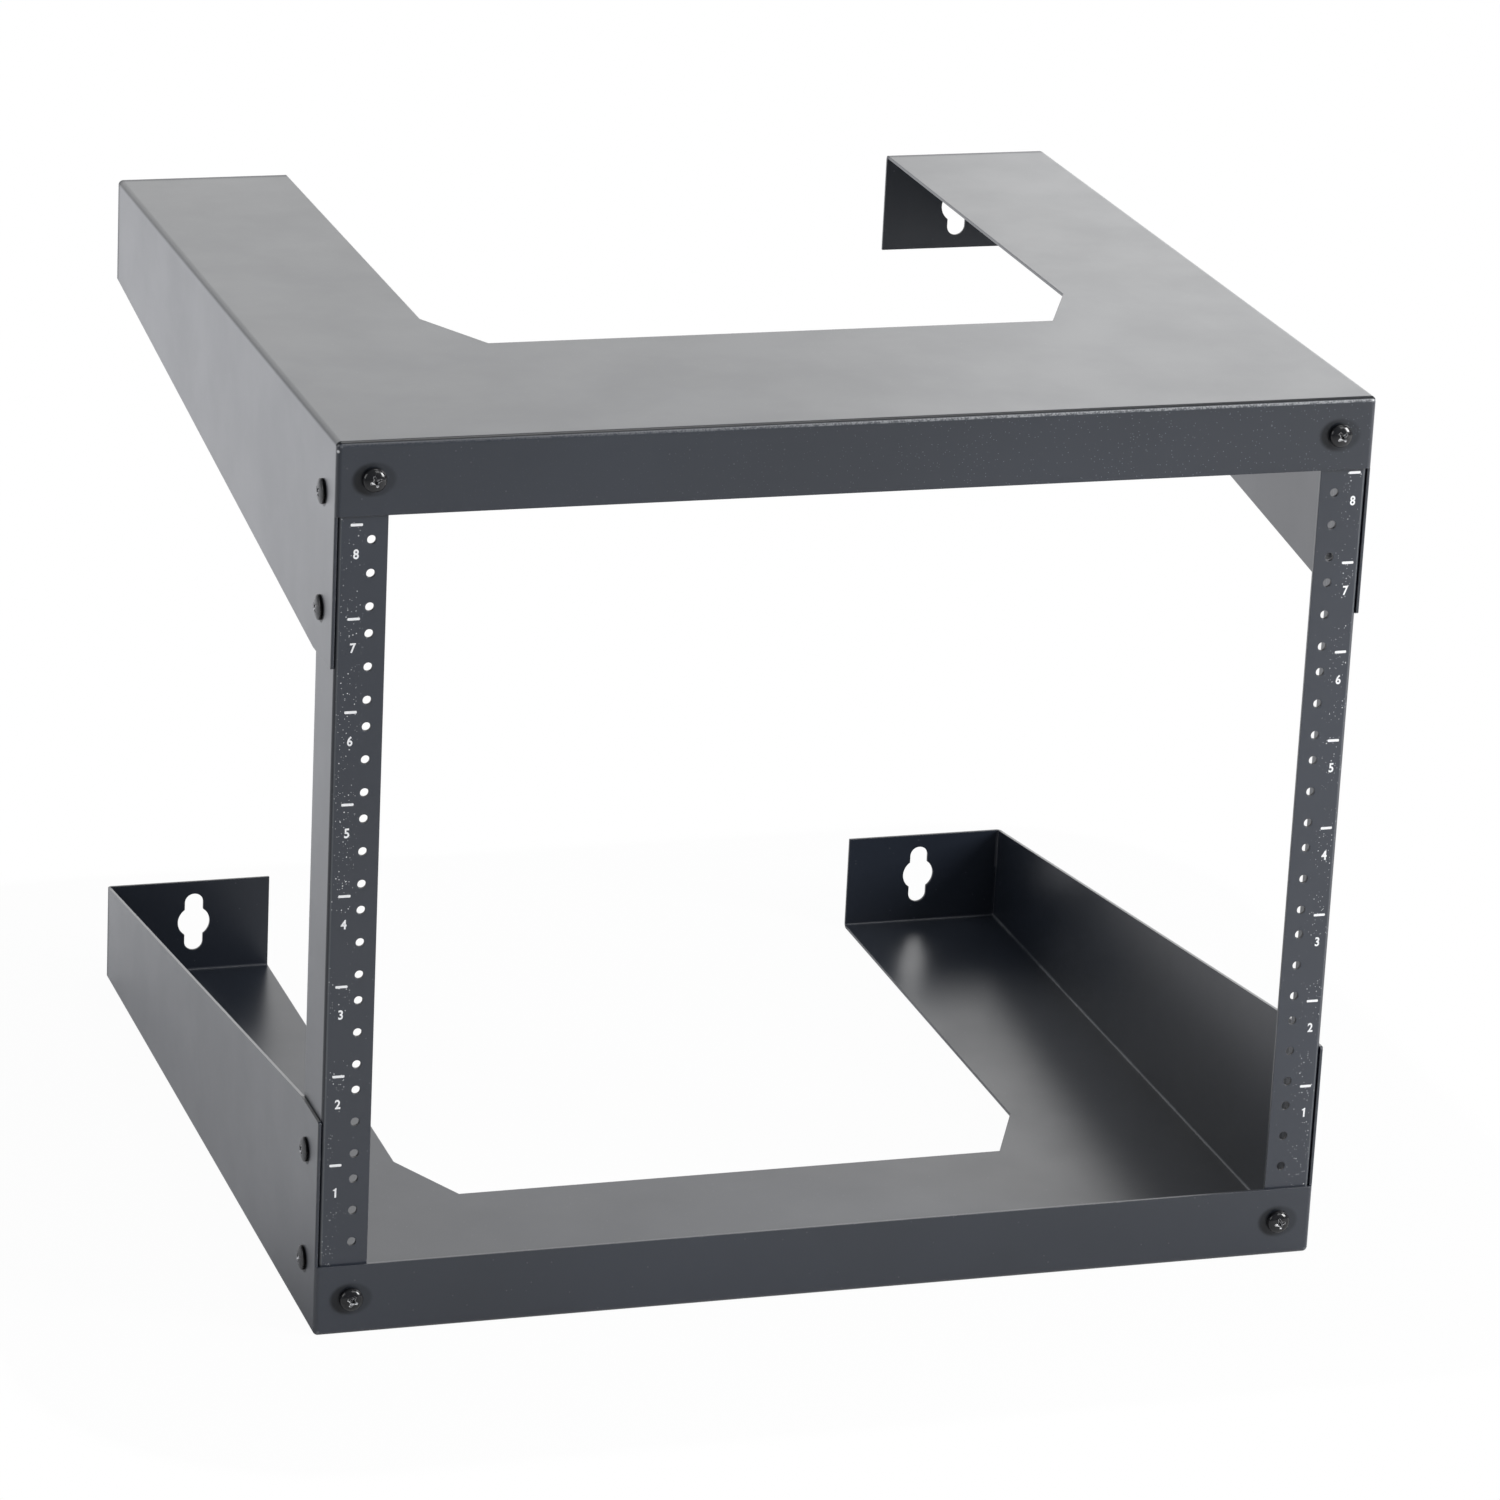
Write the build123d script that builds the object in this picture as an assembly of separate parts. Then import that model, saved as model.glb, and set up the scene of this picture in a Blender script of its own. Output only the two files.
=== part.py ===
from build123d import *
from math import cos, radians, sin
import os

# Wall mount rack: an open frame of two folded sheet-steel brackets, one above and one
# below, held apart by two tapped angle rails that carry the equipment.
# +X is to the right seen from the front, +Y runs back towards the wall, and +Z is up.
# The origin is the centre of the equipment hole pattern, on the front face of the rails.
# Lengths are in millimetres.

# Equipment grid of a standard 19 inch rack
rack_units = 8
unit_height = 44.45
holes_per_unit = 3
hole_column_spacing = 465.1
first_hole_rise = 6.35
hole_rise = 15.875
tapped_hole_diameter = 4.2

# Rails
hole_from_rail_edge = 7.55
rail_front_width = 23.3
rail_side_depth = 34.0
rail_sheet = 1.5
rail_bend_radius = 0.5
rail_side_clearance = 0.2
rail_end_clearance = 0.5

# Brackets
bracket_sheet = 1.5
bracket_bend_radius = 1.0
rail_to_wall = 463.5
plate_beyond_grid = 40.2
front_flange_height = 35.0
side_flange_height = 107.5
side_flange_level = 33.5
side_flange_toe_radius = 1.5
front_flange_root_radius = 0.7
rear_flange_height = 51.5
arm_width = 87.4
crossbar_depth = 144.5
chamfer_across = 21.6
chamfer_back = 45.1

# Wall keyholes, one in each rear flange: a round hole with a slot above and below it
keyhole_spacing = 406.4
keyhole_below_plate = 28.7
keyhole_diameter = 17.3
keyhole_slot_width = 10.0
keyhole_slot_length = 32.0

# Screws that hold the rails in the brackets
shank_diameter = 4.8
shank_clearance = 0.1
shank_tip_chamfer = 0.6
front_head_diameter = 11.4
front_head_height = 4.3
front_head_rim = 1.6
front_shank_length = 12.0
side_head_diameter = 11.8
side_head_height = 2.6
side_head_rim = 0.6
side_shank_length = 10.0
side_screw_from_rail_edge = 11.0
side_screw_below_plate = 30.0
side_screw_pitch = 55.0

# The domed part of a screw head, as conical bands
head_bands = 3

# Cross recess in the screw heads
recess_span = 5.4
recess_width = 1.3
recess_depth = 2.2
recess_taper = 12.0

# Extra length of a cutting tool past the face it cuts
cut_past = 5.0

# How near an edge must lie to a place to be taken as the edge there
edge_reach = 0.01

# Places worked out from the sizes above
grid_top = rack_units * unit_height / 2
plate_outer = grid_top + plate_beyond_grid
plate_inner = plate_outer - bracket_sheet
hole_column = hole_column_spacing / 2
rail_inner_edge = hole_column - hole_from_rail_edge
rail_outer_face = rail_inner_edge + rail_front_width
bracket_inner_face = rail_outer_face + rail_side_clearance
bracket_outer_face = bracket_inner_face + bracket_sheet
bracket_front = -bracket_sheet
bend_outer_radius = bracket_bend_radius + bracket_sheet
rear_flange_inner = rail_to_wall - bracket_sheet
side_flange_low = plate_outer - side_flange_height
rear_flange_low = plate_outer - rear_flange_height
front_flange_low = plate_outer - front_flange_height
arm_inner_edge = bracket_outer_face - arm_width
rail_end = plate_inner - bracket_bend_radius - rail_end_clearance
front_screw_height = grid_top + first_hole_rise + hole_rise
side_screw_back = rail_side_depth - side_screw_from_rail_edge
side_screw_heights = (
    plate_outer - side_screw_below_plate,
    plate_outer - side_screw_below_plate - side_screw_pitch,
)
keyhole_height = plate_outer - keyhole_below_plate
clear_hole_radius = shank_diameter / 2 + shank_clearance


def block(low, high):
    """A box between its lowest and its highest corner."""
    size = [high[i] - low[i] for i in range(3)]
    middle = [(high[i] + low[i]) / 2 for i in range(3)]
    return Pos(*middle) * Box(*size)


def hole_along_y(x, z, radius, front, back):
    """A round cutting tool that runs from front to back."""
    drill = Cylinder(radius, back - front, align=(Align.CENTER, Align.CENTER, Align.MIN))
    return Pos(x, front, z) * Rot(-90, 0, 0) * drill


def hole_along_x(y, z, radius, left, right):
    """A round cutting tool that runs from left to right."""
    drill = Cylinder(radius, right - left, align=(Align.CENTER, Align.CENTER, Align.MIN))
    return Pos(left, y, z) * Rot(0, 90, 0) * drill


def folded_pan():
    """The plate with a bend down to each flange, its corners welded shut and ground round."""
    outer = block(
        (-bracket_outer_face, bracket_front, side_flange_low),
        (bracket_outer_face, rail_to_wall, plate_outer),
    )
    outer = fillet(outer.edges().filter_by(Axis.Z), bend_outer_radius)
    rim = outer.faces().sort_by(Axis.Z)[-1].edges()
    outer = fillet(rim, bend_outer_radius)
    hollow = block(
        (-bracket_inner_face, 0, side_flange_low - cut_past),
        (bracket_inner_face, rear_flange_inner, plate_inner),
    )
    hollow = fillet(hollow.faces().sort_by(Axis.Z)[-1].edges(), bracket_bend_radius)
    return outer - hollow


def below_side_edge():
    """What is cut away under the sloping lower edge of the side flanges."""
    floor = side_flange_low - cut_past
    outline = Polyline(
        (side_flange_level, side_flange_low),
        (rear_flange_inner, rear_flange_low),
        (rail_to_wall + cut_past, rear_flange_low),
        (rail_to_wall + cut_past, floor),
        (side_flange_level, floor),
        close=True,
    )
    return extrude(Plane.YZ * make_face(outline), bracket_outer_face + cut_past, both=True)


def below_front_flange():
    """What is cut away under the front flange, down to the front edge of the side flanges."""
    reach = bracket_outer_face + cut_past
    return block(
        (-reach, bracket_front - cut_past, side_flange_low - cut_past),
        (reach, 0, front_flange_low),
    )


def plate_opening():
    """The opening between the arms, with a chamfer where each arm meets the crossbar."""
    back = rail_to_wall + cut_past
    outline = Polyline(
        (-arm_inner_edge, back),
        (-arm_inner_edge, crossbar_depth + chamfer_back),
        (-arm_inner_edge + chamfer_across, crossbar_depth),
        (arm_inner_edge - chamfer_across, crossbar_depth),
        (arm_inner_edge, crossbar_depth + chamfer_back),
        (arm_inner_edge, back),
        close=True,
    )
    sheet = Pos(0, 0, side_flange_low - cut_past) * make_face(outline)
    return extrude(sheet, side_flange_height + 2 * cut_past)


def keyhole(x):
    """A wall keyhole through a rear flange: round in the middle, a slot above and below."""
    straight = keyhole_slot_length - keyhole_slot_width
    slot = Rot(0, 0, 90) * SlotCenterToCenter(straight, keyhole_slot_width)
    wall = Plane(origin=(x, rail_to_wall, keyhole_height), x_dir=(1, 0, 0), z_dir=(0, 1, 0))
    face = wall * (slot + Circle(keyhole_diameter / 2))
    return extrude(face, bracket_sheet + cut_past, both=True)


def front_edges_across_sheet(bracket, height):
    """The short edges across the sheet of the side flanges, at the rails' front and a height."""
    across = bracket.edges().filter_by(Axis.X).filter_by(lambda e: e.length < 2 * bracket_sheet)
    front = across.filter_by_position(Axis.Y, -edge_reach, edge_reach)
    return front.filter_by_position(Axis.Z, height - edge_reach, height + edge_reach)


def soften_side_flanges(bracket):
    """Round the toe of each side flange, and the step up from it to the front flange."""
    toes = front_edges_across_sheet(bracket, side_flange_low)
    bracket = fillet(toes, side_flange_toe_radius)
    roots = front_edges_across_sheet(bracket, front_flange_low)
    return fillet(roots, front_flange_root_radius)


def top_bracket():
    """The upper bracket, with its flanges turned down."""
    bracket = folded_pan() - below_side_edge() - below_front_flange() - plate_opening()
    bracket = soften_side_flanges(bracket)
    for side in (-1, 1):
        bracket -= hole_along_y(
            side * hole_column,
            front_screw_height,
            clear_hole_radius,
            bracket_front - cut_past,
            cut_past,
        )
        bracket -= keyhole(side * keyhole_spacing / 2)
    for height in side_screw_heights:
        reach = bracket_outer_face + cut_past
        bracket -= hole_along_x(side_screw_back, height, clear_hole_radius, -reach, reach)
    return bracket


def grid_heights():
    """The height of every equipment hole, from the lowest unit up."""
    heights = []
    for unit in range(rack_units):
        unit_base = unit * unit_height - grid_top
        for step in range(holes_per_unit):
            heights.append(unit_base + first_hole_rise + step * hole_rise)
    return heights


def rail_angle():
    """The right-hand rail before drilling: an angle with one bend, open towards the wall."""
    outline = Polyline(
        (rail_inner_edge, 0),
        (rail_outer_face, 0),
        (rail_outer_face, rail_side_depth),
        (rail_outer_face - rail_sheet, rail_side_depth),
        (rail_outer_face - rail_sheet, rail_sheet),
        (rail_inner_edge, rail_sheet),
        close=True,
    )
    angle = extrude(Pos(0, 0, -rail_end) * make_face(outline), 2 * rail_end)
    upright = angle.edges().filter_by(Axis.Z)
    outside = upright.sort_by_distance((rail_outer_face, 0, 0))[0]
    angle = fillet(outside, rail_bend_radius + rail_sheet)
    upright = angle.edges().filter_by(Axis.Z)
    inside = upright.sort_by_distance((rail_outer_face - rail_sheet, rail_sheet, 0))[0]
    return fillet(inside, rail_bend_radius)


def right_rail():
    """The right-hand rail with its equipment holes and the holes for its own screws."""
    rail = rail_angle()
    for height in grid_heights():
        rail -= hole_along_y(
            hole_column, height, tapped_hole_diameter / 2, -cut_past, cut_past
        )
    for end in (-1, 1):
        rail -= hole_along_y(
            hole_column, end * front_screw_height, clear_hole_radius, -cut_past, cut_past
        )
        for height in side_screw_heights:
            rail -= hole_along_x(
                side_screw_back,
                end * height,
                clear_hole_radius,
                hole_column,
                bracket_outer_face,
            )
    return rail


def cross_recess(top):
    """The tapered cross that a driver turns the screw by, sunk into the head from its top."""
    arm = Rectangle(recess_span, recess_width)
    cross = arm + Rot(0, 0, 90) * arm
    return extrude(Pos(0, 0, top) * cross, -recess_depth, taper=recess_taper)


def screw_head(diameter, height, rim):
    """A domed head standing on Z = 0: a straight rim, then bands along a quarter ellipse."""
    points = [(0, 0), (diameter / 2, 0)]
    for band in range(head_bands + 1):
        turn = radians(90 * band / head_bands)
        points.append((diameter / 2 * cos(turn), rim + (height - rim) * sin(turn)))
    points[-1] = (0, height)
    return revolve(Plane.XZ * make_face(Polyline(*points, close=True)), Axis.Z)


def screw(head, head_height, shank_length):
    """A screw along +Z: the head seats on Z = 0 and the shank runs down from it."""
    seat = (Align.CENTER, Align.CENTER, Align.MAX)
    shank = Cylinder(shank_diameter / 2, shank_length, align=seat)
    shank = chamfer(shank.edges().group_by(Axis.Z)[0], shank_tip_chamfer)
    return head + shank - cross_recess(head_height)


def front_screw(side, end):
    """A pan-head screw through a front flange into the front face of a rail."""
    head = screw_head(front_head_diameter, front_head_height, front_head_rim)
    body = screw(head, front_head_height, front_shank_length)
    place = Pos(side * hole_column, bracket_front, end * front_screw_height)
    return place * Rot(90, 0, 0) * body


def side_screw(side, height):
    """A truss-head screw through a side flange into the side of a rail."""
    head = screw_head(side_head_diameter, side_head_height, side_head_rim)
    body = screw(head, side_head_height, side_shank_length)
    place = Pos(side * bracket_outer_face, side_screw_back, height)
    return place * Rot(0, side * 90, 0) * body


def all_pieces():
    """Every piece of the rack by name."""
    bracket = top_bracket()
    rail = right_rail()
    pieces = {
        "top_bracket": bracket,
        "bottom_bracket": mirror(bracket, about=Plane.XY),
        "left_rail": mirror(rail, about=Plane.YZ),
        "right_rail": rail,
    }
    for side_name, side in (("left", -1), ("right", 1)):
        for end_name, end in (("top", 1), ("bottom", -1)):
            pieces[f"front_screw_{end_name}_{side_name}"] = front_screw(side, end)
            for place, height in zip(("outer", "inner"), side_screw_heights):
                name = f"side_screw_{end_name}_{side_name}_{place}"
                pieces[name] = side_screw(side, end * height)
    return pieces


os.makedirs("parts", exist_ok=True)
for piece_name, piece in all_pieces().items():
    export_step(piece, f"parts/{piece_name}.step")
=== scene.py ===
from collections import namedtuple
from math import cos, pi, radians, sin

import bmesh
import bpy
from mathutils import Matrix, Vector


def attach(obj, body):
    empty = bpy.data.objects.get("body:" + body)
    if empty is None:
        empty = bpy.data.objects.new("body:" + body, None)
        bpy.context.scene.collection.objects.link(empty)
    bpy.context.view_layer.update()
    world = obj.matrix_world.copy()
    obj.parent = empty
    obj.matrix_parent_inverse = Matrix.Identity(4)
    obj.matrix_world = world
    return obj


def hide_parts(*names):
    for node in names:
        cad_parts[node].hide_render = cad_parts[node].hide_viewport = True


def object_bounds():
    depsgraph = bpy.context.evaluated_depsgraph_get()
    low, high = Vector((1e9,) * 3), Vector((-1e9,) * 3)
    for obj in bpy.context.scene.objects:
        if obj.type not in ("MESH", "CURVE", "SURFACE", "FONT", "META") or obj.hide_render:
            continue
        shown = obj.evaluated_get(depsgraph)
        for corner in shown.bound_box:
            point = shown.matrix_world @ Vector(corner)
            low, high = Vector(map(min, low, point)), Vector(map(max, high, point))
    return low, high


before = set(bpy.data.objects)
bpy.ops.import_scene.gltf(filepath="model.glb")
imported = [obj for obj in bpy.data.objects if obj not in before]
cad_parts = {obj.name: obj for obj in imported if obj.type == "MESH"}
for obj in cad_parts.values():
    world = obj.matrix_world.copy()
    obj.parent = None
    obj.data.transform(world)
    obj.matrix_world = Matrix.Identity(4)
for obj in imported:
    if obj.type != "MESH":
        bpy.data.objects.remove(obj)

cad_low, cad_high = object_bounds()

MM = 0.001

# Sizes of the rack that the drawn detail follows, in metres. HOLE_REACH is a little more than
# the radius of a tapped hole
UNITS = 8
UNIT = 44.45 * MM
GRID_TOP = UNITS * UNIT / 2
HOLE_COLUMN = 232.55 * MM
HOLE_REACH = 2.3 * MM
FRONT_SCREW_HEIGHT = 200.025 * MM
FRONT_FACE = -1.5 * MM
SIDE_FACE = 250.0 * MM
SIDE_SCREW_BACK = 23.0 * MM
SIDE_SCREW_HEIGHTS = {"outer": 188.0 * MM, "inner": 133.0 * MM}

# Inner faces of the brackets' side flanges, plates and rear flanges
SIDE_INSIDE = 248.5 * MM
PLATE_INSIDE = 216.5 * MM
REAR_INSIDE = 462.0 * MM

# Axes of the upper bracket's front bend and of the rails' outer bends
FRONT_BEND_Y = 1.0 * MM
FRONT_BEND_Z = 215.5 * MM
RAIL_BEND_X = 246.3 * MM
RAIL_BEND_Y = 2.0 * MM

# A painted glint on the upper bracket's left front corner
CORNER_GLINT_PLACE = (-249.0 * MM, -0.4 * MM, 213.6 * MM)

# Slack at the borders of the masks that follow a face or a bend
NEAR = 0.1 * MM

# Painted shadows round the screws' heads: the radius where they end and the one where they are
# full, and how far in front of the side screws their rings are centred
FRONT_SHADOW_RADII = (8.8 * MM, 6.8 * MM)
SIDE_SHADOW_RADII = (6.8 * MM, 6.0 * MM)
SIDE_SHADOW_FORWARD = 2.0 * MM

# How far an edge's rounding reaches, with the light rub that is partly a painted highlight on
# sheets, and the painted glint on screws
SHEET_EDGE = 0.6 * MM
SCREW_EDGE = 0.32 * MM

# Print on the rails
LINE_LENGTH = 6.3 * MM
LINE_HEIGHT = 1.25 * MM
NUMERAL_HEIGHT = 4.7 * MM
NUMERAL_NARROWED = 0.86
NUMERAL_BELOW_LINE = 13.8 * MM
PRINT_THICKNESS = 0.05 * MM

# Where each rail's print sits: centre at mid height, rise over the grid, drift per metre
PRINT_PLACES = {
    "left": (-240.6 * MM, 0.9 * MM, 0.0055),
    "right": (242.2 * MM, 3.1 * MM, 0.0),
}

# The photograph's camera, solved from the rack's holes and corners; its lens in millimetres
CAMERA_PLACE = (-0.94075, -2.70874, 1.06398)
CAMERA_RIGHT = (0.953853, -0.296654, 0.046483)
CAMERA_UP = (0.056840, 0.330385, 0.942133)
CAMERA_SENSOR = 36.0
CAMERA_LENS = 157.030

# Soft boxes: name, place, aim, width, height, power in watts
LAMPS = (
    ("lamp_above", (0.3, 0.5, 2.2), (0.1, 0.2, 0.0), 1.2, 1.0, 12.0),
    ("lamp_left", (-2.2, -0.2, 0.9), (0.0, 0.2, 0.0), 1.3, 1.1, 9.0),
    ("lamp_right", (2.05, -1.4, 1.15), (0.1, 0.1, 0.0), 0.8, 1.3, 66.0),
    ("lamp_front", (0.9, -1.7, 2.3), (0.0, 0.0, 0.0), 1.3, 1.3, 12.0),
    ("lamp_back", (2.5, 3.1, 1.3), (0.1, 0.1, 0.2), 2.8, 1.6, 5.5),
)

# Half the floor's width, and the middle and half size of the ground that the rack covers
FLOOR_HALF = 6.0
COVERED_MIDDLE = (0.0, 0.231, 0.0)
COVERED_HALF = (0.25, 0.2325, 1.0)

# The white that glossy rays find on the floor: the Y where a part of it starts, the Y where it
# is full, and how much it adds
FLOOR_MIRRORED = ((-0.05, 0.2, 0.33), (0.4, 1.0, 0.38), (0.9, 1.4, 0.24))

# A screw's sizes: head's radius and height, its rim, shank's length, recess's depth, and how
# much the head is flattened towards its rim, 1 being round
Screw = namedtuple("Screw", "name radius height rim length recess flattened")
FRONT_SCREW = Screw("front_screw", 5.65 * MM, 4.1 * MM, 1.5 * MM, 12.0 * MM, 2.2 * MM, 1.0)
SIDE_SCREW = Screw("side_screw", 5.85 * MM, 2.5 * MM, 1.1 * MM, 10.0 * MM, 1.9 * MM, 1.4)
HEAD_STEPS = 10
HEAD_EDGE = 0.12 * MM
COLUMNS = 40
PITCH = 0.8 * MM
ROWS_PER_TURN = 5
RUN_IN = 0.4 * MM
SHANK_ROOT = 1.98 * MM
SHANK_CREST = 2.37 * MM
TIP = 0.7 * MM

# Turn of each screw's cross about its own axis, in degrees
TURNS = {
    "front_screw_top_left": 20,
    "front_screw_top_right": 38,
    "front_screw_bottom_left": 63,
    "front_screw_bottom_right": 12,
    "side_screw_top_left_outer": 45,
    "side_screw_top_left_inner": 40,
    "side_screw_top_right_outer": 8,
    "side_screw_top_right_inner": 71,
    "side_screw_bottom_left_outer": 30,
    "side_screw_bottom_left_inner": 55,
    "side_screw_bottom_right_outer": 24,
    "side_screw_bottom_right_inner": 66,
}

# Colours as written on the shaders
BRACKET_COLOUR = (0.018, 0.023, 0.034)
RAIL_COLOUR = (0.022, 0.0275, 0.040)
FRONT_SCREW_COLOUR = (0.010, 0.010, 0.011)
SIDE_SCREW_COLOUR = (0.045, 0.045, 0.047)
WHITE = (1.0, 1.0, 1.0, 1.0)


def rgb(red, green, blue):
    return (red, green, blue, 1.0)


class Graph:
    """A node tree with short calls that add nodes and join them."""

    def __init__(self, owner):
        owner.use_nodes = True
        self.tree = owner.node_tree

    def add(self, kind, **settings):
        made = self.tree.nodes.new("ShaderNode" + kind)
        for key, value in settings.items():
            setattr(made, key, value)
        return made

    def feed(self, socket, value):
        if isinstance(value, bpy.types.NodeSocket):
            self.tree.links.new(value, socket)
        else:
            socket.default_value = value

    def math(self, operation, *values):
        made = self.add("Math", operation=operation)
        for socket, value in zip(made.inputs, values):
            self.feed(socket, value)
        return made.outputs[0]

    def product(self, first, *others):
        for other in others:
            first = self.math("MULTIPLY", first, other)
        return first

    def most(self, first, *others):
        for other in others:
            first = self.math("MAXIMUM", first, other)
        return first

    def vector(self, operation, *values):
        made = self.add("VectorMath", operation=operation)
        for socket, value in zip(made.inputs, values):
            self.feed(socket, value)
        return made.outputs["Value" if operation in ("LENGTH", "DISTANCE", "DOT_PRODUCT") else 0]

    def parts(self, vector):
        """The X, Y and Z of a vector."""
        split = self.add("SeparateXYZ")
        self.feed(split.inputs[0], vector)
        return split.outputs[0], split.outputs[1], split.outputs[2]

    def facing(self):
        """The X, Y and Z of the direction that the surface faces, as the object has it."""
        return self.parts(self.add("TexCoord").outputs["Normal"])

    def past(self, value, limit):
        """How far a value, its sign left out, is past a limit."""
        return self.math("SUBTRACT", self.math("ABSOLUTE", value), limit)

    def reach(self, across, rise):
        """The distance that two distances at right angles make."""
        square = self.math("ADD", self.product(across, across), self.product(rise, rise))
        return self.math("SQRT", square)

    def band(self, value, start, end, low=0.0, high=1.0):
        """low up to start, high from end on, and smooth between them."""
        made = self.add("MapRange", interpolation_type="SMOOTHSTEP")
        for socket, given in zip(made.inputs, (value, start, end, low, high)):
            self.feed(socket, given)
        return made.outputs[0]

    def noise(self, place, scale, detail=2.0, rough=0.5):
        made = self.add("TexNoise")
        self.feed(made.inputs["Vector"], place)
        self.feed(made.inputs["Scale"], scale)
        self.feed(made.inputs["Detail"], detail)
        self.feed(made.inputs["Roughness"], rough)
        return made.outputs["Fac"]

    def dots(self, place, scale, radius, share):
        """Round dots in a share of the cells of a Voronoi pattern, 1 inside a dot."""
        made = self.add("TexVoronoi")
        self.feed(made.inputs["Vector"], place)
        self.feed(made.inputs["Scale"], scale)
        near = self.band(made.outputs["Distance"], radius, radius * 0.6)
        split = self.add("SeparateColor")
        self.feed(split.inputs[0], made.outputs["Color"])
        chosen = self.math("LESS_THAN", split.outputs[0], share)
        return self.product(near, chosen)

    def choose(self, factor, first, second):
        """A number: the first where the factor is 0, the second where it is 1."""
        made = self.add("Mix")
        self.feed(made.inputs[0], factor)
        self.feed(made.inputs[2], first)
        self.feed(made.inputs[3], second)
        return made.outputs[0]

    def blend(self, factor, first, second):
        """A colour: the first where the factor is 0, the second where it is 1."""
        made = self.add("Mix", data_type="RGBA")
        self.feed(made.inputs["Factor"], factor)
        self.feed(made.inputs[6], first)
        self.feed(made.inputs[7], second)
        return made.outputs[2]

    def cover(self, mask, lower, upper):
        """Two shaders: the upper one where the mask is 1."""
        made = self.add("MixShader")
        self.feed(made.inputs[0], mask)
        self.feed(made.inputs[1], lower.outputs[0])
        self.feed(made.inputs[2], upper.outputs[0])
        return made.outputs[0]

    def bump(self, height, distance, normal):
        made = self.add("Bump")
        made.inputs["Distance"].default_value = distance
        self.feed(made.inputs["Height"], height)
        self.feed(made.inputs["Normal"], normal)
        return made.outputs[0]


def new_material(name):
    """A new material, its graph, its shader, and where each point is on the object."""
    material = bpy.data.materials.new(name)
    graph = Graph(material)
    place = graph.add("TexCoord").outputs["Object"]
    return material, graph, graph.tree.nodes["Principled BSDF"], place


def studio():
    """White behind the object, a plain level of light on it, and a panel to mirror."""
    world = bpy.data.worlds.new("studio")
    bpy.context.scene.world = world
    graph = Graph(world)
    graph.tree.nodes.clear()
    plain = graph.add("Background")
    plain.inputs["Color"].default_value = rgb(0.19, 0.20, 0.22)
    white = graph.add("Background")
    white.inputs["Color"].default_value = WHITE
    x, y, z = graph.parts(graph.add("TexCoord").outputs["Generated"])
    behind = graph.band(y, 0.0, 0.6)
    rightward = graph.band(x, -0.55, -0.15, 0.15, 1.0)
    low = graph.band(z, 0.36, 0.76, 1.0, 0.0)
    panel = graph.product(behind, rightward, low)
    path = graph.add("LightPath")
    seen = graph.most(path.outputs["Is Camera Ray"], path.outputs["Is Transmission Ray"])
    mirrored = graph.product(path.outputs["Is Glossy Ray"], panel)
    mixed = graph.cover(graph.most(seen, mirrored), plain, white)
    graph.feed(graph.add("OutputWorld").inputs[0], mixed)
    world.cycles.sampling_method = "NONE"


def lights():
    """The soft boxes, which the camera doesn't see."""
    for name, place, aim, width, height, power in LAMPS:
        data = bpy.data.lights.new(name, "AREA")
        data.shape = "RECTANGLE"
        data.size = width
        data.size_y = height
        data.energy = power
        made = bpy.data.objects.new(name, data)
        made.location = place
        made.rotation_euler = (Vector(aim) - Vector(place)).to_track_quat("-Z", "Y").to_euler()
        made.visible_camera = False
        bpy.context.scene.collection.objects.link(made)


def floor_paint():
    """Pale paint that the camera sees run into white, clear of the ground under the rack."""
    material, graph, shader, place = new_material("floor_pale")
    y = graph.parts(place)[1]
    tint = graph.blend(graph.noise(place, 3.0), rgb(0.70, 0.70, 0.70), rgb(0.74, 0.74, 0.74))
    tint = graph.blend(graph.band(y, -0.3, -0.9), tint, rgb(0.56, 0.56, 0.56))
    graph.feed(shader.inputs["Base Color"], tint)
    shader.inputs["Roughness"].default_value = 0.9
    shader.inputs["Specular IOR Level"].default_value = 0.0
    outside = graph.vector("ABSOLUTE", graph.vector("SUBTRACT", place, COVERED_MIDDLE))
    outside = graph.vector("SUBTRACT", outside, COVERED_HALF)
    outside = graph.vector("MAXIMUM", outside, (0.0, 0.0, 0.0))
    far = graph.band(graph.vector("LENGTH", outside), 0.0, 0.16)
    path = graph.add("LightPath")
    glossy = path.outputs["Is Glossy Ray"]
    seen = graph.product(path.outputs["Is Camera Ray"], graph.most(far, 0.97))
    behind = 0.0
    for start, end, white_added in FLOOR_MIRRORED:
        behind = graph.math("ADD", graph.band(y, start, end, 0.0, white_added), behind)
    mirrored = graph.product(glossy, behind)
    white = graph.add("Emission")
    graph.feed(white.inputs["Color"], graph.blend(glossy, WHITE, rgb(0.95, 0.96, 1.0)))
    mixed = graph.cover(graph.most(seen, mirrored), shader, white)
    graph.feed(graph.tree.nodes["Material Output"].inputs["Surface"], mixed)
    return material


def floor():
    """A pale floor that runs into the white world, and keeps the object's shadow."""
    mesh = bpy.data.meshes.new("floor")
    shape = bmesh.new()
    bmesh.ops.create_grid(shape, x_segments=8, y_segments=8, size=FLOOR_HALF)
    shape.to_mesh(mesh)
    shape.free()
    mesh.materials.append(floor_paint())
    made = bpy.data.objects.new("floor", mesh)
    made.location = (0.0, 0.0, cad_low.z)
    bpy.context.scene.collection.objects.link(made)


def camera():
    """The photograph's camera: a long lens from the left and above."""
    data = bpy.data.cameras.new("camera")
    data.sensor_width = CAMERA_SENSOR
    data.lens = CAMERA_LENS
    made = bpy.data.objects.new("camera", data)
    right, up = Vector(CAMERA_RIGHT), Vector(CAMERA_UP)
    turn = Matrix((right, up, right.cross(up))).transposed().to_4x4()
    made.matrix_world = Matrix.Translation(CAMERA_PLACE) @ turn
    bpy.context.scene.collection.objects.link(made)
    bpy.context.scene.camera = made


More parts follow.
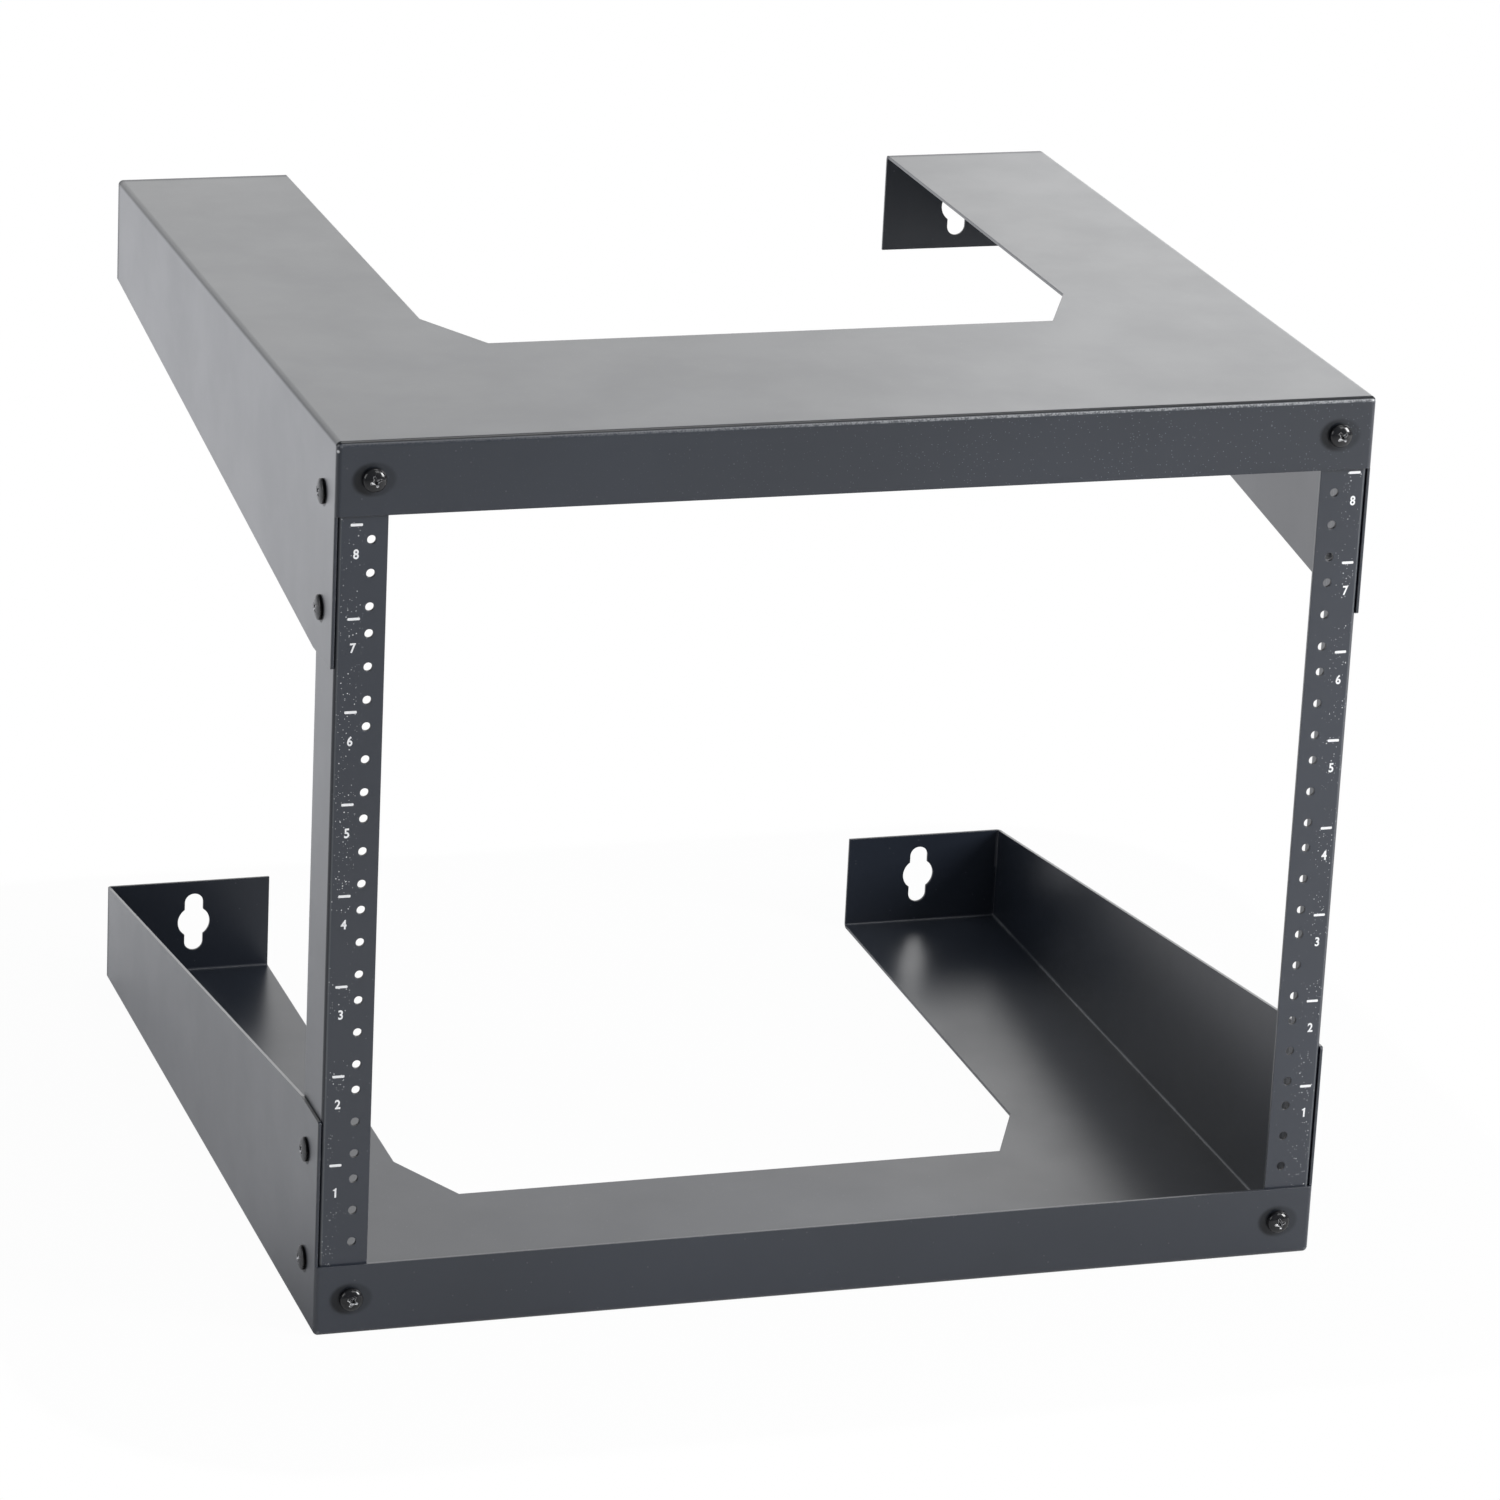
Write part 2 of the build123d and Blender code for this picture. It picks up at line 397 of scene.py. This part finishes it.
def edge_mask(graph, radius):
    """1 on edges and tight bends and 0 on flat faces, with the normal rounded over edges."""
    rounded = graph.add("Bevel", samples=4)
    rounded.inputs["Radius"].default_value = radius
    true = graph.add("NewGeometry").outputs["Normal"]
    turned = graph.vector("DOT_PRODUCT", rounded.outputs[0], true)
    return graph.band(turned, 0.995, 0.85), rounded.outputs[0]


def screw_halo(graph, place):
    """Painted shadow round the front screws' heads: a dark ring, darker leftward where the heads'
    shadow falls.
    """
    x, y, z = graph.parts(place)
    across = graph.product(graph.past(x, HOLE_COLUMN), 0.78)
    rise = graph.past(z, FRONT_SCREW_HEIGHT)
    ring = graph.band(graph.reach(across, rise), *FRONT_SHADOW_RADII)
    front = graph.math("LESS_THAN", y, 0.0)
    # The painted shadow is darker leftward, where the heads' shadow falls
    leftward = graph.product(across, graph.math("SIGN", x))
    strength = graph.band(leftward, 3.0 * MM, -5.0 * MM, 0.4, 0.9)
    return graph.product(ring, front, strength)


def side_halo(graph, place):
    """Painted shadow beside the heads of the side screws: a dark ring centred towards the front.
    """
    x, y, z = graph.parts(place)
    outer, inner = SIDE_SCREW_HEIGHTS["outer"], SIDE_SCREW_HEIGHTS["inner"]
    rise = graph.past(graph.past(z, (outer + inner) / 2), (outer - inner) / 2)
    # Centred in front of the head, so that the painted shadow shows beside it
    across = graph.math("SUBTRACT", y, SIDE_SCREW_BACK - SIDE_SHADOW_FORWARD)
    ring = graph.band(graph.reach(across, rise), *SIDE_SHADOW_RADII)
    side = graph.math("GREATER_THAN", graph.math("ABSOLUTE", x), SIDE_FACE - 0.5 * MM)
    return graph.product(ring, side)


def round_bend(graph, first, second):
    """How far round a bend a point is, from 0 to 1, and a mask of the bend."""
    turn = graph.math("DIVIDE", graph.math("ARCTAN2", first, second), pi / 2)
    within = graph.product(graph.band(first, 0.0, NEAR), graph.band(second, 0.0, NEAR))
    return turn, within


def front_bend(graph, place):
    """The bend from plate to front flange: painted shade on its upper part, and a painted glint
    on its lower part.
    """
    x, y, z = graph.parts(place)
    forward = graph.math("SUBTRACT", FRONT_BEND_Y, y)
    rise = graph.math("SUBTRACT", z, FRONT_BEND_Z)
    turn, within = round_bend(graph, forward, rise)
    # Painted shade on the bend's upper part, and a painted glint on its lower part
    upper = graph.product(graph.band(turn, 0.05, 0.2), graph.band(turn, 0.62, 0.5), within)
    lower = graph.product(graph.band(turn, 0.58, 0.68), graph.band(turn, 1.0, 0.9), within)
    grain = graph.band(graph.noise(place, 900.0, 2.0, 0.6), 0.4, 0.6, 0.25, 1.0)
    # The painted glint is stronger to the right
    more = graph.band(x, -0.22, 0.1, 0.12, 1.0)
    return upper, graph.product(lower, grain, more)


def rail_bend(graph, place):
    """The rails' outer bend: painted shade on its part towards the side, and a painted highlight
    line at the front.
    """
    x, y = graph.parts(place)[:2]
    across = graph.past(x, RAIL_BEND_X)
    forward = graph.math("SUBTRACT", RAIL_BEND_Y, y)
    turn, within = round_bend(graph, across, forward)
    bend_painted_shade = graph.product(graph.band(turn, 0.25, 0.4), graph.band(turn, 1.0, 0.85), within)
    bend_painted_highlight = graph.product(graph.band(turn, 0.02, 0.12), graph.band(turn, 0.38, 0.25), within)
    return bend_painted_shade, bend_painted_highlight


def thin_coat(graph, place):
    """How much gloss is taken away as painted shade in the rear corners and inside the lower
    bracket.
    """
    x, y, z = graph.parts(place)
    # Painted shade: gloss taken away near the rear inside faces
    rear = graph.band(y, REAR_INSIDE - 6.0 * MM, REAR_INSIDE - 1.0 * MM, 0.0, 0.85)
    across = graph.math("ABSOLUTE", x)
    between = graph.math("LESS_THAN", across, SIDE_INSIDE + NEAR)
    above = graph.math("GREATER_THAN", z, -PLATE_INSIDE - NEAR)
    lower = graph.math("LESS_THAN", z, 0.0)
    back = graph.math("GREATER_THAN", y, -NEAR)
    # Painted shade inside the lower bracket, stronger near the side flanges' inner faces
    share = graph.band(across, SIDE_INSIDE - 0.6 * MM, SIDE_INSIDE - 0.2 * MM, 0.22, 0.42)
    return graph.most(rear, graph.product(between, above, lower, back, share))


def inside_fold(graph, reach, face):
    """1 in the last stretch before an inner face, and 0 past it."""
    near = graph.band(reach, face - 1.4 * MM, face - 0.9 * MM)
    return graph.product(near, graph.math("LESS_THAN", reach, face + 0.05 * MM))


def fold_line(graph, place):
    """A painted highlight along the inside of the folds and corner welds."""
    x, y, z = graph.parts(place)
    at_side = inside_fold(graph, graph.math("ABSOLUTE", x), SIDE_INSIDE)
    at_plate = inside_fold(graph, graph.math("ABSOLUTE", z), PLATE_INSIDE)
    at_wall = inside_fold(graph, y, REAR_INSIDE)
    patches = graph.band(graph.noise(place, 55.0, 2.0, 0.6), 0.5, 0.6, 0.1, 0.8)
    # Painted highlight in patches along the corner welds, the rear fold and the side folds
    weld_painted_highlight = graph.product(at_side, at_wall, patches)
    rear = graph.product(at_plate, at_wall, 0.25)
    streak = graph.band(graph.noise(place, 25.0, 3.0, 0.6), 0.35, 0.6, 0.35, 1.0)
    side = graph.product(at_plate, at_side, streak)
    return graph.most(weld_painted_highlight, rear, side)


def chip(graph, place):
    """A painted glint, near white, on the welded corner at the top left."""
    return graph.band(graph.vector("DISTANCE", place, CORNER_GLINT_PLACE), 1.1 * MM, 0.5 * MM)


def front_glitter(graph, place):
    """Tiny bright grains in the coat of the upper front flange, denser to the right."""
    x, y, z = graph.parts(place)
    front = graph.math("LESS_THAN", y, FRONT_FACE + 0.3 * MM)
    upper = graph.math("GREATER_THAN", z, 0.0)
    more = graph.band(x, -0.15, 0.2, 0.15, 1.0)
    return graph.product(graph.dots(place, 700.0, 0.15, 0.6), front, upper, more)


def cloudy_coat(graph, place, colour):
    """The coat's colour in soft clouds, with light flecks and a few dark nibs."""
    deep = rgb(*[0.90 * part for part in colour])
    pale = rgb(*[1.12 * part for part in colour])
    tone = graph.blend(graph.band(graph.noise(place, 7.0, 3.0, 0.55), 0.3, 0.7), deep, pale)
    fleck = graph.product(graph.dots(place, 420.0, 0.20, 0.06), 0.35)
    tone = graph.blend(fleck, tone, rgb(0.16, 0.17, 0.19))
    nib = graph.product(graph.dots(place, 45.0, 0.013, 0.5), 0.8)
    return graph.blend(nib, tone, rgb(0.004, 0.004, 0.005))


def rubbed_edges(graph, place, tone):
    """The tone with its edges rubbed light in patches, partly a painted highlight, and the normal
    rounded over them.
    """
    edge, rounded = edge_mask(graph, SHEET_EDGE)
    rub_and_highlight = graph.band(graph.noise(place, 260.0, 3.0, 0.6), 0.55, 0.72, 0.0, 0.9)
    return graph.blend(graph.product(edge, rub_and_highlight), tone, rgb(0.16, 0.17, 0.185)), rounded


def orange_peel(graph, place, normal):
    """The normal with the fine ripple of sprayed powder."""
    return graph.bump(graph.noise(place, 300.0, 1.5, 0.4), 0.000003, normal)


def satin(graph, shader, place, tone, gloss_lost_to_painted_shade, normal):
    """Feeds a satin powder coat's tone, gloss and normal to its shader; the gloss taken away
    paints shade.
    """
    graph.feed(shader.inputs["Base Color"], tone)
    rough = graph.band(graph.noise(place, 22.0, 4.0, 0.6), 0.25, 0.75, 0.28, 0.35)
    graph.feed(shader.inputs["Roughness"], rough)
    shader.inputs["Coat Weight"].default_value = 1.0
    graph.feed(shader.inputs["Coat Weight"], graph.math("SUBTRACT", 1.0, gloss_lost_to_painted_shade))
    shader.inputs["Coat Roughness"].default_value = 0.30
    graph.feed(shader.inputs["Normal"], normal)
    graph.feed(shader.inputs["Coat Normal"], normal)


def bracket_coat():
    """Satin powder coat on the brackets, with painted highlights along its folds and welds,
    painted glints on a corner and the front bend, painted shade on the bend and inside, and
    painted shadows round the screws.
    """
    material, graph, shader, place = new_material("bracket_coat")
    tone = cloudy_coat(graph, place, BRACKET_COLOUR)
    # Painted highlight along the inside folds and welds
    tone = graph.blend(fold_line(graph, place), tone, rgb(0.10, 0.107, 0.12))
    tone = graph.blend(front_glitter(graph, place), tone, rgb(0.24, 0.27, 0.31))
    # Painted glint on the top left welded corner
    tone = graph.blend(chip(graph, place), tone, rgb(0.85, 0.85, 0.85))
    # Painted shade on the front bend's upper part, and a painted glint on its lower part
    upper, lower = front_bend(graph, place)
    tone = graph.blend(graph.product(upper, 0.9), tone, rgb(0.003, 0.004, 0.005))
    tone = graph.blend(lower, tone, rgb(0.29, 0.30, 0.31))
    # Painted shadow round the screws' heads, darkening the tone and taking gloss away
    screw_painted_shadow = graph.most(screw_halo(graph, place), side_halo(graph, place))
    tone = graph.blend(screw_painted_shadow, tone, rgb(0.003, 0.004, 0.006))
    # Edges rubbed light in patches, which also paints their highlights
    tone, rounded = rubbed_edges(graph, place, tone)
    # Gloss taken away as painted shade: inside corners, screw shadows and the bend's upper part
    painted_shade_gloss_lost = graph.most(thin_coat(graph, place), screw_painted_shadow, graph.product(upper, 0.8))
    satin(graph, shader, place, tone, painted_shade_gloss_lost, orange_peel(graph, place, rounded))
    return material


def print_specks(graph, place):
    """Fine white overspray from the printing, on the outer half of the rails' front faces."""
    x, y, z = graph.parts(place)
    inside = graph.band(graph.math("ABSOLUTE", x), 234.0 * MM, 239.5 * MM)
    front = graph.math("LESS_THAN", y, 0.2 * MM)
    more_left = graph.band(z, -150.0 * MM, 120.0 * MM, -0.08, 0.10)
    more_right = graph.band(z, -140.0 * MM, 40.0 * MM, 0.06, 0.0)
    more = graph.choose(graph.math("GREATER_THAN", x, 0.0), more_left, more_right)
    by_lines = graph.product(graph.math("COSINE", graph.product(z, 2 * pi / UNIT)), 0.07)
    cloud = graph.math("ADD", graph.noise(place, 60.0, 2.0, 0.6), more)
    patch = graph.band(graph.math("ADD", cloud, by_lines), 0.42, 0.58)
    large = graph.dots(place, 620.0, 0.20, 0.22)
    small = graph.dots(graph.vector("ADD", place, (1.3, 0.0, 0.7)), 1000.0, 0.20, 0.32)
    return graph.product(graph.most(large, small), inside, front, patch)


def hole_column(graph, x):
    """1 in the two columns of equipment holes."""
    return graph.math("LESS_THAN", graph.math("ABSOLUTE", graph.past(x, HOLE_COLUMN)), HOLE_REACH)


def hole_wall(graph, place):
    """1 on the walls of the rails' equipment holes."""
    facing_y = graph.facing()[1]
    steep = graph.math("LESS_THAN", graph.math("ABSOLUTE", facing_y), 0.5)
    return graph.product(hole_column(graph, graph.parts(place)[0]), steep)


def tapped_thread(graph, place):
    """Turns of thread inside the equipment holes, as a wave along their axis."""
    x, y = graph.parts(place)[:2]
    wave = graph.math("SINE", graph.product(y, 2 * pi / PITCH))
    return graph.product(wave, hole_column(graph, x))


def rail_coat():
    """Satin powder coat on the rails, with overspray from their print, painted shade in the
    tapped holes, and painted shade and a painted highlight on the outer bends.
    """
    material, graph, shader, place = new_material("rail_coat")
    # Edges rubbed light in patches, which also paints their highlights
    tone, rounded = rubbed_edges(graph, place, cloudy_coat(graph, place, RAIL_COLOUR))
    tone = graph.blend(print_specks(graph, place), tone, rgb(0.88, 0.89, 0.90))
    # Painted shade and a painted highlight on the rails' outer bend
    bend_painted_shade, bend_painted_highlight = rail_bend(graph, place)
    bend_painted_shade = graph.product(bend_painted_shade, 0.4)
    tone = graph.blend(bend_painted_shade, tone, rgb(0.004, 0.005, 0.006))
    tone = graph.blend(graph.product(bend_painted_highlight, 0.6), tone, rgb(0.10, 0.11, 0.12))
    # Painted shade on the walls of the tapped holes, in tone and in gloss
    wall = graph.product(hole_wall(graph, place), 0.85)
    tone = graph.blend(wall, tone, rgb(0.006, 0.006, 0.008))
    normal = orange_peel(graph, place, rounded)
    normal = graph.bump(tapped_thread(graph, place), 0.0003, normal)
    satin(graph, shader, place, tone, graph.most(wall, bend_painted_shade), normal)
    return material


def driven(graph, place, z):
    """Painted glints in patches on the steep walls of the recess."""
    flat = graph.vector("MULTIPLY", place, (1.0, 1.0, 0.0))
    near = graph.band(graph.vector("LENGTH", flat), 3.3 * MM, 2.9 * MM)
    wall = graph.band(graph.facing()[2], 0.85, 0.7)
    head = graph.math("GREATER_THAN", z, 0.3 * MM)
    patches = graph.band(graph.noise(place, 520.0, 2.0, 0.6), 0.47, 0.53)
    return graph.product(near, wall, head, patches)


def black_finish(name, colour, rough_low, rough_high, painted_shade_below):
    """Black plating on a screw, with painted glints on its edges and recess, painted shade on its
    rim, and lighter on the thread.
    """
    material, graph, shader, place = new_material(name)
    z = graph.parts(place)[2]
    deep = rgb(*[0.7 * part for part in colour])
    pale = rgb(*[1.4 * part for part in colour])
    tone = graph.blend(graph.noise(place, 900.0, 3.0, 0.6), deep, pale)
    edge, rounded = edge_mask(graph, SCREW_EDGE)
    glint_patches = graph.band(graph.noise(place, 700.0, 2.0, 0.6), 0.35, 0.6, 0.1, 1.0)
    # Painted glints on the edges, in patches
    tone = graph.blend(graph.product(edge, glint_patches), tone, rgb(0.88, 0.88, 0.89))
    # Painted glints on the recess walls
    tone = graph.blend(driven(graph, place, z), tone, rgb(0.92, 0.92, 0.93))
    # Painted shade on the head's rim and below it
    rim = graph.band(z, painted_shade_below, painted_shade_below - 0.15 * MM)
    tone = graph.blend(rim, tone, rgb(0.001, 0.001, 0.001))
    thread = graph.band(z, -2.0 * MM, -2.6 * MM)
    tone = graph.blend(thread, tone, rgb(0.42, 0.42, 0.43))
    graph.feed(shader.inputs["Base Color"], tone)
    rough = graph.band(graph.noise(place, 600.0, 3.0, 0.6), 0.3, 0.7, rough_low, rough_high)
    graph.feed(shader.inputs["Roughness"], rough)
    shader.inputs["Specular IOR Level"].default_value = 0.4
    # Gloss taken away on the rim, as painted shade
    shine = graph.math("SUBTRACT", 0.4, graph.product(rim, 0.4))
    graph.feed(shader.inputs["Coat Weight"], shine)
    shader.inputs["Coat Roughness"].default_value = 0.10
    normal = graph.bump(graph.noise(place, 1800.0, 2.0, 0.5), 0.000006, rounded)
    graph.feed(shader.inputs["Normal"], normal)
    return material


def white_print():
    """Screen-printed white ink, thin in places."""
    material, graph, shader, place = new_material("white_print")
    full = graph.band(graph.noise(place, 900.0, 3.0, 0.7), 0.25, 0.5)
    tone = graph.blend(full, rgb(0.86, 0.87, 0.88), rgb(0.96, 0.96, 0.96))
    graph.feed(shader.inputs["Base Color"], tone)
    shader.inputs["Roughness"].default_value = 0.55
    return material


def head_rings(screw):
    """(radius, height) of each ring from the crown of the head down to its seat."""
    rings = []
    for step in range(1, HEAD_STEPS + 1):
        turn = pi / 2 * step / HEAD_STEPS
        rise = (screw.height - screw.rim) * cos(turn) ** screw.flattened
        rings.append((screw.radius * sin(turn), screw.rim + rise))
    rings.append((screw.radius, HEAD_EDGE * 1.6))
    rings.append((screw.radius - HEAD_EDGE * 0.5, HEAD_EDGE * 0.5))
    rings.append((screw.radius - HEAD_EDGE * 1.6, 0.0))
    return rings


def thread_radius(depth, length, turn):
    """The shank's radius at a depth below the seat and at a turn round it."""
    phase = (depth / PITCH + turn / (2 * pi)) % 1.0
    wave = 1.0 - abs(2.0 * phase - 1.0)
    wave = min(1.0, max(0.0, wave * 1.3 - 0.15))
    run_in = min(1.0, max(0.0, (depth - RUN_IN) / PITCH))
    radius = SHANK_ROOT + (SHANK_CREST - SHANK_ROOT) * wave * run_in
    left = length - depth
    if left < TIP:
        radius = min(radius, SHANK_ROOT - (TIP - left) * 0.6)
    return radius


def cross_outline(reach, width, corner):
    """The cross of a recess, with its inner corners cut off."""
    half = width / 2
    quarter = [
        (reach, -half * 0.8),
        (reach + half * 0.25, 0.0),
        (reach, half * 0.8),
        (half + corner, half),
        (half, half + corner),
    ]
    points = []
    for turn in range(4):
        spin = Matrix.Rotation(pi / 2 * turn, 2)
        points.extend(spin @ Vector(point) for point in quarter)
    return points


def cross_cutter(top, depth):
    """A tapered cross that narrows to a point at the bottom of the recess."""
    shape = bmesh.new()
    # Height, reach of the arms, width of the arms, and cut of the inner corners at each level
    levels = (
        (top + 0.4 * MM, 3.1 * MM, 1.42 * MM, 0.62 * MM),
        (top - 0.5 * depth, 2.0 * MM, 1.12 * MM, 0.46 * MM),
        (top - 0.92 * depth, 0.9 * MM, 0.80 * MM, 0.22 * MM),
    )
    rings = []
    for height, reach, width, corner in levels:
        outline = cross_outline(reach, width, corner)
        rings.append([shape.verts.new((p.x, p.y, height)) for p in outline])
    tip = shape.verts.new((0.0, 0.0, top - depth * 1.15))
    shape.faces.new(rings[0])
    count = len(rings[0])
    for upper, lower in zip(rings, rings[1:]):
        for i in range(count):
            j = (i + 1) % count
            shape.faces.new((upper[j], upper[i], lower[i], lower[j]))
    for i in range(count):
        shape.faces.new((rings[-1][(i + 1) % count], rings[-1][i], tip))
    bmesh.ops.recalc_face_normals(shape, faces=shape.faces)
    mesh = bpy.data.meshes.new("cutter")
    shape.to_mesh(mesh)
    shape.free()
    return mesh


def turned_screw(screw):
    """The screw before its recess is cut: a domed head and a threaded shank, along -Z."""
    shape = bmesh.new()
    turns = [2 * pi * column / COLUMNS for column in range(COLUMNS)]
    rows = [[ring] * COLUMNS for ring in head_rings(screw)]
    count = int(screw.length / (PITCH / ROWS_PER_TURN))
    for row in range(count + 1):
        depth = screw.length * row / count
        rows.append([(thread_radius(depth, screw.length, turn), -depth) for turn in turns])
    rings = []
    for row in rows:
        places = [(r * cos(turn), r * sin(turn), z) for (r, z), turn in zip(row, turns)]
        rings.append([shape.verts.new(place) for place in places])
    crown = shape.verts.new((0.0, 0.0, screw.height))
    end = shape.verts.new((0.0, 0.0, -screw.length))
    for i in range(COLUMNS):
        j = (i + 1) % COLUMNS
        shape.faces.new((crown, rings[0][i], rings[0][j]))
        for upper, lower in zip(rings, rings[1:]):
            shape.faces.new((upper[i], lower[i], lower[j], upper[j]))
        shape.faces.new((end, rings[-1][j], rings[-1][i]))
    mesh = bpy.data.meshes.new("turned")
    shape.to_mesh(mesh)
    shape.free()
    return mesh


def screw_mesh(screw, finish):
    """The turned screw with its cross recess cut, in its finish."""
    body = bpy.data.objects.new("turned", turned_screw(screw))
    cutter = bpy.data.objects.new("cutter", cross_cutter(screw.height, screw.recess))
    for made in (body, cutter):
        bpy.context.scene.collection.objects.link(made)
    cut = body.modifiers.new("recess", "BOOLEAN")
    cut.operation = "DIFFERENCE"
    cut.solver = "EXACT"
    cut.object = cutter
    bpy.context.view_layer.update()
    ready = body.evaluated_get(bpy.context.evaluated_depsgraph_get())
    mesh = bpy.data.meshes.new_from_object(ready)
    mesh.name = screw.name
    bpy.data.objects.remove(body)
    bpy.data.objects.remove(cutter)
    mesh.shade_smooth()
    mesh.set_sharp_from_angle(angle=radians(38))
    mesh.materials.append(finish)
    return mesh


def place_screw(node, mesh, seat, turn):
    """A screw on its seat, in the place of its CAD node."""
    made = bpy.data.objects.new(node + "_detail", mesh)
    spin = Matrix.Rotation(radians(TURNS[node]), 4, "Z")
    made.matrix_world = Matrix.Translation(seat) @ turn @ spin
    bpy.context.scene.collection.objects.link(made)
    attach(made, "root")
    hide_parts(node)


def screws():
    """A front screw and two side screws at each corner of the front."""
    black = black_finish("front_screw_black", FRONT_SCREW_COLOUR, 0.14, 0.24, 0.5 * MM)
    front = screw_mesh(FRONT_SCREW, black)
    black = black_finish("side_screw_black", SIDE_SCREW_COLOUR, 0.26, 0.36, 1.15 * MM)
    side = screw_mesh(SIDE_SCREW, black)
    to_front = Matrix.Rotation(pi / 2, 4, "X")
    for side_name, across in (("left", -1), ("right", 1)):
        to_side = Matrix.Rotation(across * pi / 2, 4, "Y")
        for end_name, end in (("top", 1), ("bottom", -1)):
            where = end_name + "_" + side_name
            seat = (across * HOLE_COLUMN, FRONT_FACE, end * FRONT_SCREW_HEIGHT)
            place_screw("front_screw_" + where, front, seat, to_front)
            for spot, height in SIDE_SCREW_HEIGHTS.items():
                seat = (across * SIDE_FACE, SIDE_SCREW_BACK, end * height)
                node = "side_screw_" + where + "_" + spot
                place_screw(node, side, seat, to_side)


def numeral_mesh(number):
    """A bold numeral, centred on the origin in the XZ plane and printed towards -Y."""
    curve = bpy.data.curves.new("numeral", "FONT")
    curve.body = str(number)
    curve.size = 6.0
    curve.offset = 0.16
    curve.extrude = 0.5
    curve.resolution_u = 4
    holder = bpy.data.objects.new("numeral", curve)
    bpy.context.scene.collection.objects.link(holder)
    bpy.context.view_layer.update()
    ready = holder.evaluated_get(bpy.context.evaluated_depsgraph_get())
    mesh = bpy.data.meshes.new_from_object(ready)
    bpy.data.objects.remove(holder)
    low = Vector([min(v.co[axis] for v in mesh.vertices) for axis in range(3)])
    high = Vector([max(v.co[axis] for v in mesh.vertices) for axis in range(3)])
    middle, size = (low + high) / 2, high - low
    scale = NUMERAL_HEIGHT / size.y
    thick = PRINT_THICKNESS / size.z
    for vertex in mesh.vertices:
        x, y, z = vertex.co - middle
        vertex.co = (x * scale * NUMERAL_NARROWED, -z * thick, y * scale)
    return mesh


def line_points():
    """The outline of a unit line, with rounded ends."""
    points = []
    straight = LINE_LENGTH / 2 - LINE_HEIGHT / 2
    for end in (1, -1):
        for step in range(7):
            turn = -pi / 2 + pi * step / 6
            x = end * (straight + LINE_HEIGHT / 2 * cos(turn) * 0.6)
            points.append((x, end * LINE_HEIGHT / 2 * sin(turn)))
    return points


def one_points():
    """The outline of the numeral 1: a bar with a short flag, which the font leaves out."""
    shares = [(0.16, -0.5), (0.16, 0.5), (0.06, 0.5), (-0.02, 0.40), (-0.18, 0.34)]
    shares += [(-0.18, 0.22), (-0.02, 0.26), (-0.02, -0.5)]
    return [(x * NUMERAL_HEIGHT, z * NUMERAL_HEIGHT) for x, z in shares]


def add_slab(shape, points, x, z):
    """A printed outline on the front face, as a thin closed slab."""
    front = [shape.verts.new((x + px, -PRINT_THICKNESS, z + pz)) for px, pz in points]
    back = [shape.verts.new((x + px, 0.0, z + pz)) for px, pz in points]
    shape.faces.new(front)
    shape.faces.new(reversed(back))
    count = len(front)
    for i in range(count):
        j = (i + 1) % count
        shape.faces.new((front[j], front[i], back[i], back[j]))


def add_numeral(shape, mesh, x, z):
    """A numeral of the font, moved to its place on the front face."""
    start = len(shape.verts)
    shape.from_mesh(mesh)
    shape.verts.ensure_lookup_table()
    for vertex in shape.verts[start:]:
        vertex.co += Vector((x, -PRINT_THICKNESS / 2, z))


def unit_marks():
    """A line at the top of each unit and its number below, on both rails."""
    ink = white_print()
    numerals = {number: numeral_mesh(number) for number in range(2, UNITS + 1)}
    for side_name, (centre, rise, drift) in PRINT_PLACES.items():
        shape = bmesh.new()
        for number in range(1, UNITS + 1):
            top = number * UNIT - GRID_TOP + rise
            x = centre + drift * top
            add_slab(shape, line_points(), x, top)
            if number in numerals:
                add_numeral(shape, numerals[number], x, top - NUMERAL_BELOW_LINE)
            else:
                add_slab(shape, one_points(), x, top - NUMERAL_BELOW_LINE)
        bmesh.ops.recalc_face_normals(shape, faces=shape.faces)
        mesh = bpy.data.meshes.new("unit_marks_" + side_name)
        shape.to_mesh(mesh)
        shape.free()
        mesh.materials.append(ink)
        made = bpy.data.objects.new(mesh.name, mesh)
        bpy.context.scene.collection.objects.link(made)
        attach(made, "root")


def coat(nodes, material):
    """Puts a material on CAD nodes, with their meshes as they are."""
    for node in nodes:
        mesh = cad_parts[node].data
        mesh.materials.clear()
        mesh.materials.append(material)


bpy.context.scene.view_settings.view_transform = "Standard"
studio()
lights()
floor()
camera()
coat(("top_bracket", "bottom_bracket"), bracket_coat())
coat(("left_rail", "right_rail"), rail_coat())
screws()
unit_marks()

bpy.context.view_layer.update()
